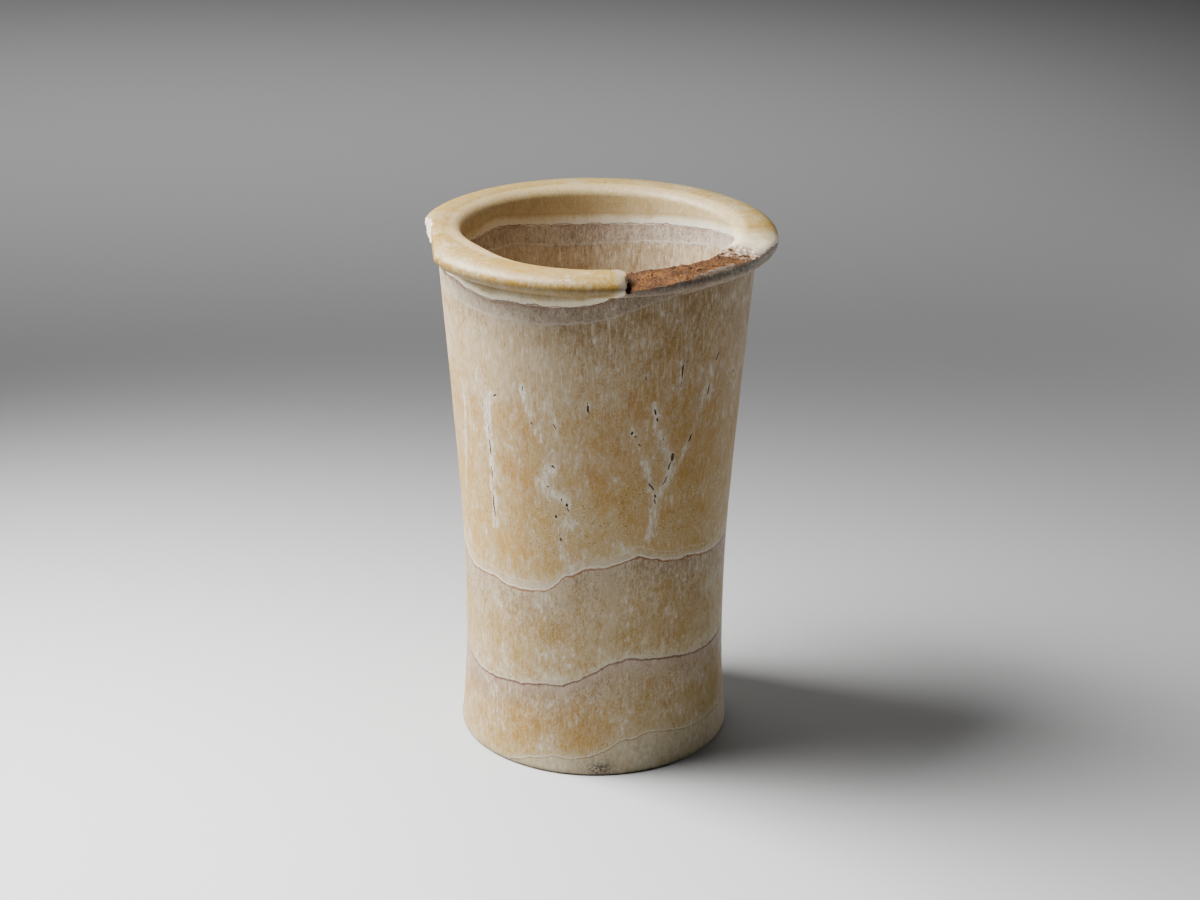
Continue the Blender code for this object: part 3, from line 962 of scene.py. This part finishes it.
# %% [markdown]
# ## The stone's finish
#
# A finish is built like a recipe: clouds of noise at several sizes, read at Object coordinates so that they
# go right through the stone, and the numbers stored at each point. Small helper tools first: each one adds
# nodes to the recipe and hands back their result.

# %% Recipe tools
def tint(text):
    """A colour as Blender mixes it, from the six-digit form that colour charts use."""
    values = [int(text[i:i + 2], 16) / 255 for i in (0, 2, 4)]
    return [v / 12.92 if v <= 0.04045 else ((v + 0.055) / 1.055) ** 2.4 for v in values] + [1.0]


class Recipe:
    """One finish, with tools that add nodes to it."""

    def __init__(self, finish):
        finish.use_nodes = True
        self.tree = finish.node_tree
        self.tree.nodes.clear()
        self.places = self.put("ShaderNodeTexCoord").node.outputs["Object"]

    def put(self, kind, inputs=None, result=0, **settings):
        """Adds a node, sets it up and hands back one of its results."""
        node = self.tree.nodes.new(kind)
        for name, value in settings.items():
            setattr(node, name, value)
        for name, value in (inputs or {}).items():
            if isinstance(value, bpy.types.NodeSocket):
                self.tree.links.new(value, node.inputs[name])
            else:
                node.inputs[name].default_value = value
        return node.outputs[result] if node.outputs else None

    def number(self, name):
        """A number stored at the points of the piece."""
        return self.put("ShaderNodeAttribute", result=2, attribute_name=name)

    def scaled(self, size_mm, upright=1.0, shift=0.0):
        """Object coordinates, scaled so that size_mm is one unit, and upright times that in height."""
        scale = 1000 / size_mm
        return self.put("ShaderNodeMapping", {
            "Vector": self.places, "Scale": (scale, scale, scale / upright), "Location": (shift,) * 3})

    def cloud(self, size_mm, upright=1.0, detail=3.0, roughness=0.55, shift=0.0, warp=0.0):
        """Soft noise with features of about size_mm, drawn out upwards by upright."""
        return self.put("ShaderNodeTexNoise", {
            "Vector": self.scaled(size_mm, upright, shift), "Scale": 1.0, "Detail": detail,
            "Roughness": roughness, "Distortion": warp})

    def cells(self, size_mm):
        """Distances to scattered grains of about size_mm."""
        return self.put("ShaderNodeTexVoronoi", {"Vector": self.scaled(size_mm), "Scale": 1.0})

    def sum(self, kind, a, b=0.0, c=0.0):
        """Arithmetic on numbers, such as ADD, MULTIPLY, SUBTRACT, ABSOLUTE, SINE or MAXIMUM."""
        return self.put("ShaderNodeMath", {0: a, 1: b, 2: c}, operation=kind)

    def times(self, a, b):
        """One number times another."""
        return self.sum("MULTIPLY", a, b)

    def plus(self, a, b):
        """One number added to another."""
        return self.sum("ADD", a, b)

    def rise(self, value, low, high, first=0.0, last=1.0):
        """Goes smoothly from first to last as value passes from low to high."""
        return self.put("ShaderNodeMapRange", {
            "Value": value, "From Min": low, "From Max": high, "To Min": first, "To Max": last},
            interpolation_type="SMOOTHSTEP")

    def spots(self, cloud, low, high, first=0.0, last=1.0):
        """A cloud, given by its settings, that goes from first to last as it passes from low to high."""
        return self.rise(self.cloud(*cloud), low, high, first, last)

    def between(self, value, start, full, last, end):
        """1 where a value lies from full to last, and smoothly 0 before start and beyond end."""
        return self.times(self.rise(value, start, full), self.rise(value, last, end, 1.0, 0.0))

    def line(self, distance, middle, half_width):
        """1 where a distance is at middle, and smoothly 0 beyond half_width from it."""
        away = self.sum("ABSOLUTE", self.sum("SUBTRACT", distance, middle))
        return self.rise(away, 0.0, half_width, 1.0, 0.0)

    def mix(self, share, below, above):
        """Lays one colour over another by a share."""
        return self.put("ShaderNodeMix", {0: share, 6: below, 7: above}, 2, data_type="RGBA")

    def lay(self, colour, share, strength, text):
        """Lays a tint over a colour, where a share says so and as strongly as strength says."""
        return self.mix(self.times(share, strength), colour, tint(text))

    def ramp(self, value, stops):
        """Colours or plain shares in order, for values from 0 to that of the last stop."""
        top = stops[-1][0]
        made = self.put("ShaderNodeValToRGB", {"Fac": self.sum("DIVIDE", value, top)})
        band = made.node.color_ramp
        while len(band.elements) < len(stops):
            band.elements.new(0.5)
        for element, (place, colour) in zip(band.elements, stops):
            element.position = place / top
            element.color = tint(colour) if isinstance(colour, str) else (colour, colour, colour, 1)
        return made

    def finish(self, colour, roughness, relief, depth, **sockets):
        """Joins the colour, the roughness and the fine relief to the shader."""
        bump = self.put("ShaderNodeBump", {"Height": relief, "Distance": depth, "Strength": 1.0})
        shader = self.put("ShaderNodeBsdfPrincipled", {
            "Base Color": colour, "Roughness": roughness, "Normal": bump})
        for name, value in sockets.items():
            shader.node.inputs[name.replace("_", " ")].default_value = value
        self.put("ShaderNodeOutputMaterial", {"Surface": shader})


print("tools:", [name for name in dir(Recipe) if name[0] != "_"])

# %% [markdown]
# ### Banded stone
#
# From the foot up: grey-tan stone, a mottled honey layer, a paler mottled one, the tall honey body with
# upright fibres, a thin pinkish layer of upright crystals, its red-brown upper face, a chalky white zone and
# the honey rim. "strata" counts these layers, so whole numbers are the lines between them. Each layer has a
# milky and a honey tint, mixed by clouds and patches, with crazing and specks over both; three of the
# patches are painted light and shade. The last step grades it all: paler and brighter inside, as painted
# light on the hollow's walls, richer on the rim's roll, and brighter in the chalk under the roll, as painted
# light where the roll shades it.

# %% How strong and how bright the stone is
SATURATION = 1.14
BRIGHTNESS = 0.72
HUE = 0.504
# Paler and brighter inside is painted light: it stands for front light that the lamps don't give the hollow's
# walls.
PAINTED_LIGHT_PALER_INSIDE = -0.26
PAINTED_LIGHT_INSIDE = 0.14
RICHER_RIM = 0.13
DULLER_RIM = -0.25
# The chalky band under the roll is brightened: painted light where the roll shades it.
CHALK_PAINTED_LIGHT = 0.48

# %% Banded stone: milky and honey-coloured calcite
stone = Recipe(STONE_FINISH)
layer_count = stone.number("strata")
between_lines = stone.sum("ABSOLUTE", stone.sum("SINE", stone.times(layer_count, math.pi)))
drift = stone.plus(stone.spots((10, 1, 4, 0.65), 0.25, 0.75, -0.24, 0.24),
                  stone.spots((2.6, 1, 3, 0.7, 4), 0.25, 0.75, -0.1, 0.1))
strata = stone.plus(layer_count, stone.times(drift, between_lines))
milky = stone.ramp(strata, (
    (0, "c9bb9f"), (0.95, "bfb095"), (1.06, "b39f79"), (1.4, "a48d61"), (1.85, "a8937a"), (1.97, "a69279"),
    (2.05, "cabca0"), (2.12, "b39d77"), (2.5, "b09974"), (2.9, "a9967a"), (2.98, "a8957d"),
    (3.02, "cdbfa4"), (3.05, "bca57b"), (3.2, "b79d6f"), (3.8, "b59d7b"), (3.98, "a99373"),
    (4.02, "b5a390"), (4.95, "a8937f"), (5.03, "d2c9b8"), (5.5, "cdbfa2"), (6, "b79c68"), (7, "b09358")))
honey = stone.ramp(strata, (
    (0, "b3a482"), (0.95, "a49576"), (1.06, "a9844c"), (1.6, "9c7439"), (1.85, "866746"), (1.97, "7e6047"),
    (2.06, "a78650"), (2.6, "9c7a47"), (2.88, "866945"), (2.98, "7c5f43"), (3.03, "b18e56"),
    (3.2, "af8546"), (3.75, "a27c49"), (3.98, "8c6b3e"), (4.02, "8a7460"), (4.95, "7c6250"),
    (5.03, "c4b394"), (5.6, "b3955f"), (6.3, "a8854b"), (7, "a58247")))
milkiness = stone.ramp(strata, (
    (0, 0.55), (0.97, 0.6), (1.03, 0.95), (1.12, 0.48), (1.55, 0.38), (1.8, 0.58), (1.97, 0.72),
    (2.02, 0.75), (2.05, 0.5), (2.15, 0.44), (2.6, 0.5), (2.9, 0.64), (2.98, 0.7), (3.01, 0.8),
    (3.03, 0.52), (3.06, 0.4), (3.2, 0.4), (3.5, 0.42), (3.64, 0.52), (3.82, 0.66), (3.94, 0.58),
    (3.98, 0.42), (4.02, 0.55), (4.97, 0.45), (5.03, 1), (5.35, 0.94), (5.7, 0.6), (6.05, 0.44), (7, 0.4)))


def patchy(size_mm, upright, strength, detail=4, shift=0):
    """A cloud that takes a share of milk away in some places and adds it in others."""
    return stone.spots((size_mm, upright, detail, 0.66, shift, 0.5), 0.28, 0.72, -strength, strength)


soft_clouds = stone.plus(patchy(21, 2.6, 0.3, 4, 1.7), patchy(7.5, 2.1, 0.22, 4, 6.1))
fine_clouds = stone.plus(patchy(2.9, 1.7, 0.58, 5, 3.3), patchy(1.1, 1.5, 0.55, 4, 8.3))
crispness = stone.times(stone.rise(layer_count, 2.95, 3.08, 1, 0.62), stone.rise(layer_count, 5.3, 6, 1, 0.8))
unevenness = stone.plus(soft_clouds, stone.times(fine_clouds, crispness))
share = stone.sum("SUBTRACT", milkiness, stone.times(stone.number("honey"), 0.5))
share = stone.plus(share, unevenness)
colour = stone.mix(stone.rise(share, 0, 1), honey, milky)

# %% Banded stone: fibres, crystals and specks
in_body_top = stone.between(layer_count, 3.5, 3.8, 3.985, 4)
in_crystals = stone.between(layer_count, 3.99, 4.02, 4.96, 5)
in_rim = stone.rise(strata, 5.9, 6.5)
fibres = stone.cloud(1.3, 9, 4, 0.62, 2, 0.3)
light_fibres = stone.rise(fibres, 0.5, 0.68)
fibre_share = stone.plus(stone.times(in_body_top, 0.42), 0.2)
colour = stone.lay(colour, light_fibres, fibre_share, "d9ccb4")
brown_streaks = stone.spots((4.2, 5, 4, 0.66, 8, 0.3), 0.47, 0.66)
near_light = stone.rise(stone.number("light_layer"), -24, -2)
streaks = stone.times(stone.times(brown_streaks, near_light), in_body_top)
colour = stone.lay(colour, streaks, 0.62, "8a683c")

crystals = stone.spots((1.2, 2.8, 4, 0.7, 1), 0.46, 0.64)
dark_crystals = stone.spots((2.2, 2, 5, 0.75, 7), 0.47, 0.64)
colour = stone.lay(colour, crystals, stone.times(in_crystals, 0.55), "c9bba9")
colour = stone.lay(colour, dark_crystals, stone.times(in_crystals, 0.6), "66503f")
rim_sparkle = stone.spots((2, 1, 5, 0.8, 12), 0.5, 0.62)
colour = stone.lay(colour, rim_sparkle, stone.times(in_rim, 0.42), "cdbb94")
crazing = stone.sum("MAXIMUM", stone.line(stone.cloud(5, 1.4, 3, 0.62, 23, 0.8), 0.5, 0.034),
                    stone.line(stone.cloud(2.6, 1.6, 3, 0.62, 27, 0.6), 0.47, 0.04))
crazing = stone.times(crazing, stone.spots((9, 1.2, 2, 0.5, 29), 0.4, 0.6, 0.15, 1))
colour = stone.lay(colour, crazing, 0.34, "cabb9d")
light_specks = stone.spots((1.1, 1.4, 3, 0.75, 15), 0.52, 0.72)
dark_specks = stone.spots((1.5, 1.4, 4, 0.75, 18), 0.54, 0.76)
colour = stone.lay(colour, light_specks, 0.42, "cdbc9a")
colour = stone.lay(colour, dark_specks, 0.6, "705736")

# %% Banded stone: veins, ripples and the lines between layers
vein_edge = stone.spots((2.6, 2.4, 5, 0.75, 5, 0.4), 0.25, 0.75, -0.52, 0.52)
vein_break = stone.spots((13, 1.6, 3, 0.6, 31), 0.32, 0.56, 0.62, 1)
vein_here = stone.times(stone.number("vein"), vein_break)
vein_here = stone.times(vein_here, stone.rise(stone.number("inside"), 0, 1, 1, 0.3))
halo = stone.rise(stone.plus(vein_here, stone.times(vein_edge, 0.6)), 0.12, 0.9, 0, 0.56)
core = stone.rise(stone.plus(vein_here, vein_edge), 0.55, 1.15, 0, 0.86)
colour = stone.mix(halo, colour, tint("cbbfab"))
colour = stone.mix(core, colour, tint("e0d9ce"))

from_wave = stone.number("upper_wave")
ripple_bend = stone.spots((7, 1, 2, 0.5, 2.5), 0, 1, -7, 7)
ripple_turn = stone.times(stone.plus(from_wave, ripple_bend), 2 * math.pi / 1.75)
ripple_place = stone.between(from_wave, 9, 20, 40, 95)
ripple_patch = stone.spots((22, 1, 2, 0.5, 14), 0.38, 0.54)
ripples = stone.times(stone.sum("SINE", ripple_turn), stone.times(ripple_place, ripple_patch))
colour = stone.mix(stone.rise(ripples, 0, 1, 0, 0.7), colour, tint("c9b388"))
colour = stone.mix(stone.rise(ripples, 0, -1, 0, 0.48), colour, tint("80602f"))

wobble = stone.spots((7, 1, 4, 0.65), 0, 1, -1.4, 1.4)
wobble_fine = stone.spots((2.2, 1, 3, 0.7, 4), 0, 1, -0.55, 0.55)
line_cloud = stone.cloud(24, 1, 3, 0.6, 21)


def draw_line(colour, name, middle, half_width, line_tint, strength, fades):
    """Draws a thin line along one layer, a little uneven and fading here and there."""
    distance = stone.plus(stone.number(name), stone.plus(wobble, wobble_fine))
    share = stone.line(distance, middle, half_width)
    fade = stone.rise(line_cloud, 0.38, 0.6, 1.0 - fades, 1)
    return stone.lay(colour, share, stone.times(fade, strength), line_tint)


# Layer, the line's height over it and half width in mm, tint, strength, and how much of it fades in places.
LINES = (
    ("upper_wave", 2.8, 2.6, "c0b199", 0.34, 0),
    ("upper_wave", 6.6, 0.8, "d8cdba", 0.5, 0.8),
    ("upper_wave", 0.9, 1, "ddd4c6", 0.9, 0.3),
    ("upper_wave", -0.7, 1.2, "84491f", 0.9, 0.4),
    ("lower_wave", 1.5, 1.6, "cabda8", 0.36, 0),
    ("lower_wave", 0.6, 0.8, "dcd2c4", 0.6, 0.4),
    ("lower_wave", -0.5, 1.5, "5c2c1c", 0.97, 0.2),
    ("lower_wave", -4, 4.5, "b39d8f", 0.35, 0),
    ("foot_wave", 0.5, 0.8, "d2c8b4", 0.8, 0.3),
    ("foot_wave", -0.6, 0.9, "77593f", 0.6, 0.5),
    ("light_layer", 0.2, 1.1, "cbbda6", 0.75, 0.6),
    ("red_layer", 0, 0.8, "4f2c20", 0.92, 0.3),
    ("red_layer", -1.4, 1.4, "85503a", 0.5, 0.7),
)
for line in LINES:
    colour = draw_line(colour, *line)
colour = stone.lay(colour, stone.line(strata, 6.02, 0.1), 0.35, "a07d3e")
# Painted shade: grey-brown at the foot's front, along the contact with the paper and under the ledge.
painted_shade = stone.times(stone.number("painted_shade"), stone.spots((2, 1, 5, 0.75, 41), 0.36, 0.56))
colour = stone.lay(colour, painted_shade, 0.82, "50453a")
worn = stone.times(stone.number("worn"), stone.spots((4, 1, 4, 0.7), 0.35, 0.6, 0.55, 1))
colour = stone.mix(stone.rise(worn, 0.1, 0.9, 0, 0.74), colour, tint("aba294"))
inside = stone.number("inside")
outside = stone.sum("SUBTRACT", 1, inside)
outer_roll = stone.times(stone.rise(inside, 0, 1, 1, 0.35), stone.rise(layer_count, 5.5, 6))
# Painted light: the chalky band outside, under the roll, is brightened where the roll shades it.
painted_light_on_chalk = stone.times(stone.between(layer_count, 4.97, 5.03, 5.3, 5.6), outside)
# Inside, painted light: the hollow's walls are made paler and brighter.
richness = stone.sum("MULTIPLY_ADD", inside, PAINTED_LIGHT_PALER_INSIDE, SATURATION)
richness = stone.sum("MULTIPLY_ADD", outer_roll, RICHER_RIM, richness)
brightness = stone.sum("MULTIPLY_ADD", inside, PAINTED_LIGHT_INSIDE, BRIGHTNESS)
brightness = stone.sum("MULTIPLY_ADD", outer_roll, DULLER_RIM, brightness)
brightness = stone.sum("MULTIPLY_ADD", painted_light_on_chalk, CHALK_PAINTED_LIGHT, brightness)
colour = stone.put("ShaderNodeHueSaturation", {
    "Color": colour, "Hue": HUE, "Saturation": richness, "Value": brightness})

# %% Banded stone: gloss and relief
relief = stone.plus(stone.times(stone.cloud(1.2, 2, 4, 0.6), 0.5), stone.times(fibres, 0.3))
relief = stone.plus(relief, stone.times(crystals, stone.times(in_crystals, 0.8)))
sheen = stone.spots((6, 1.0, 3), 0.3, 0.7, 0.40, 0.56)
stone.finish(colour, sheen, relief, 0.00024, Subsurface_Weight=0.10,
             Subsurface_Radius=(0.010, 0.006, 0.003), Subsurface_Scale=0.3, Specular_IOR_Level=0.40)
print("banded stone nodes:", len(stone.tree.nodes))

# %% [markdown]
# ### Broken and hollow places
#
# The ledge is the red-brown layer seen face on: brown grains with dark lines between them, amber crumbs, and
# pale facets where stone from over the layer still clings to it. Its browns are darkened further as painted
# shade, since the rough ledge lies in shade. The chip is pale and sugary and turns to cream towards its foot,
# and the pits are coloured dark brown inside.

# %% Broken layer
ledge = Recipe(BREAK_FINISH)
grain_size = ledge.rise(ledge.cells(1.5), 0.1, 0.75)
patches = ledge.spots((9, 1.0, 4, 0.65), 0.38, 0.64)
# The brown tints are the layer's own colour, darkened further as painted shade for the shaded ledge.
ledge_colour_and_shade = ledge.mix(patches, tint("3d2511"), tint("64401f"))
ledge_colour_and_shade = ledge.lay(ledge_colour_and_shade, grain_size, 0.45, "28190d")
crumbs = ledge.spots((1.1, 1.0, 4, 0.75, 3.0), 0.55, 0.75)
ledge_colour_and_shade = ledge.lay(ledge_colour_and_shade, crumbs, 0.45, "8f6335")
over_layer = ledge.plus(ledge.number("red_layer"), ledge.spots((2.0,), 0.0, 1.0, -0.8, 0.8))
facets = ledge.mix(ledge.rise(ledge.cells(2.6), 0.15, 0.7), tint("d0c5b5"), tint("a08a72"))
ledge_colour_and_shade = ledge.mix(ledge.rise(over_layer, 1.3, 2.2), ledge_colour_and_shade, facets)
far_end = ledge.times(ledge.number("far_end"), ledge.spots((4.5, 1.0, 3), 0.42, 0.54))
ledge_colour_and_shade = ledge.mix(ledge.times(far_end, 0.65), ledge_colour_and_shade, facets)
ledge.finish(ledge_colour_and_shade, 0.9, ledge.cloud(0.9, 1.0, 5, 0.8), 0.0006, Specular_IOR_Level=0.15)
print("ledge nodes:", len(ledge.tree.nodes))

# %% Crumbled edge
CREAM_BELOW = 0.3440
CREAM_FADES_AT = 0.3490

chip = Recipe(CHIP_FINISH)
sugar = chip.spots((1.4, 1.0, 5, 0.7), 0.40, 0.68)
chip_colour = chip.mix(sugar, tint("b8aa90"), tint("d6ccba"))
height_of_place = chip.put("ShaderNodeSeparateXYZ", {"Vector": chip.places}, 2)
creamy = chip.rise(height_of_place, CREAM_BELOW, CREAM_FADES_AT, 1.0, 0.0)
chip_colour = chip.lay(chip_colour, creamy, 0.8, "d3c19d")
chip.finish(chip_colour, 0.7, chip.cloud(1.0, 1.0, 4, 0.7), 0.0003, Subsurface_Weight=0.25,
            Subsurface_Radius=(0.012, 0.007, 0.004), Subsurface_Scale=0.6)
print("chip nodes:", len(chip.tree.nodes))

# %% Dark pits
pit_recipe = Recipe(PIT_FINISH)
pit_colour = pit_recipe.mix(pit_recipe.spots((0.8, 1.0, 3), 0.4, 0.7), tint("33281e"), tint("76624c"))
pit_recipe.finish(pit_colour, 0.95, pit_recipe.cloud(0.5, 1.0, 3), 0.0002)
print("pit nodes:", len(pit_recipe.tree.nodes))

# %% [markdown]
# ## Finishing
#
# Faces are shaded smooth except across real edges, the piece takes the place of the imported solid, and its
# size is written beside the solid's to show that nothing grew.

# %% Smooth shading, and the piece's place in the model
SMOOTH_BELOW = 38

choose(vase)
bpy.ops.object.shade_smooth_by_angle(angle=math.radians(SMOOTH_BELOW))
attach(vase, "root")
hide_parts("vase")
triangles = sum(len(face.vertices) - 2 for face in vase.data.polygons)
print("vase:", triangles, "triangles")

# %% Sizes
NEW_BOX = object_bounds()
grown = np.subtract(NEW_BOX, CAD_BOX).ravel()
print("grown by, in mm:", [round(1000 * float(value), 2) for value in grown])
